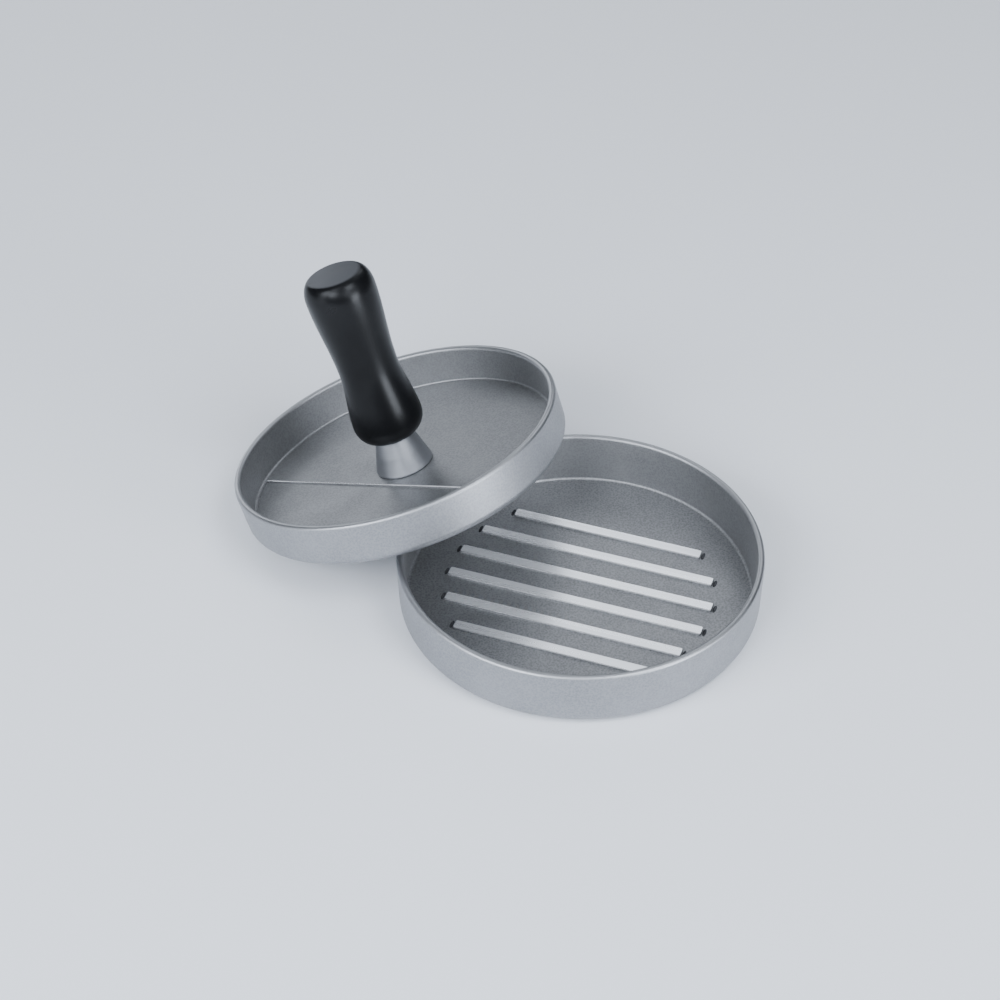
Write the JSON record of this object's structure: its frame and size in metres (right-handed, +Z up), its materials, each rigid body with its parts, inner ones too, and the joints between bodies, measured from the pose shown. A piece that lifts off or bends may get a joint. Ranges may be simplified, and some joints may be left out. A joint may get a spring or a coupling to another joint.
{
  "type": "patty press",
  "caption": "Round patty press: a shallow ribbed base dish and a leaning press plate with a collar and an upright waisted handle.",
  "frame": {"origin": "centre of the base dish's underside, on the surface it stands on", "axes": "+Z up along the base dish's axis; the press plate leans towards -X, and +X points away from it"},
  "size_m": [0.191, 0.1265, 0.0931],
  "materials": {
    "cast_base": "cast and fine blasted, rib tops and rim bright",
    "cast_plate": "cast and fine blasted, rim bright",
    "turned_collar": "fine turned, satin",
    "moulded_handle": "black, moulded, satin",
    "insert_brass": "turned",
    "fastener_steel": "stainless"
  },
  "bodies": {
    "base": {"base_dish": "cast_base"},
    "press": {"press_plate": "cast_plate", "collar": "turned_collar", "handle": "moulded_handle", "threaded_insert": "insert_brass", "handle_screw": "fastener_steel", "spring_washer": "fastener_steel", "plain_washer": "fastener_steel"}
  },
  "joints": [
    {"name": "press_lift", "type": "slide", "parent": "base", "child": "press", "axis": [0, 0, 1], "range_m": [0, 0.1]}
  ]
}
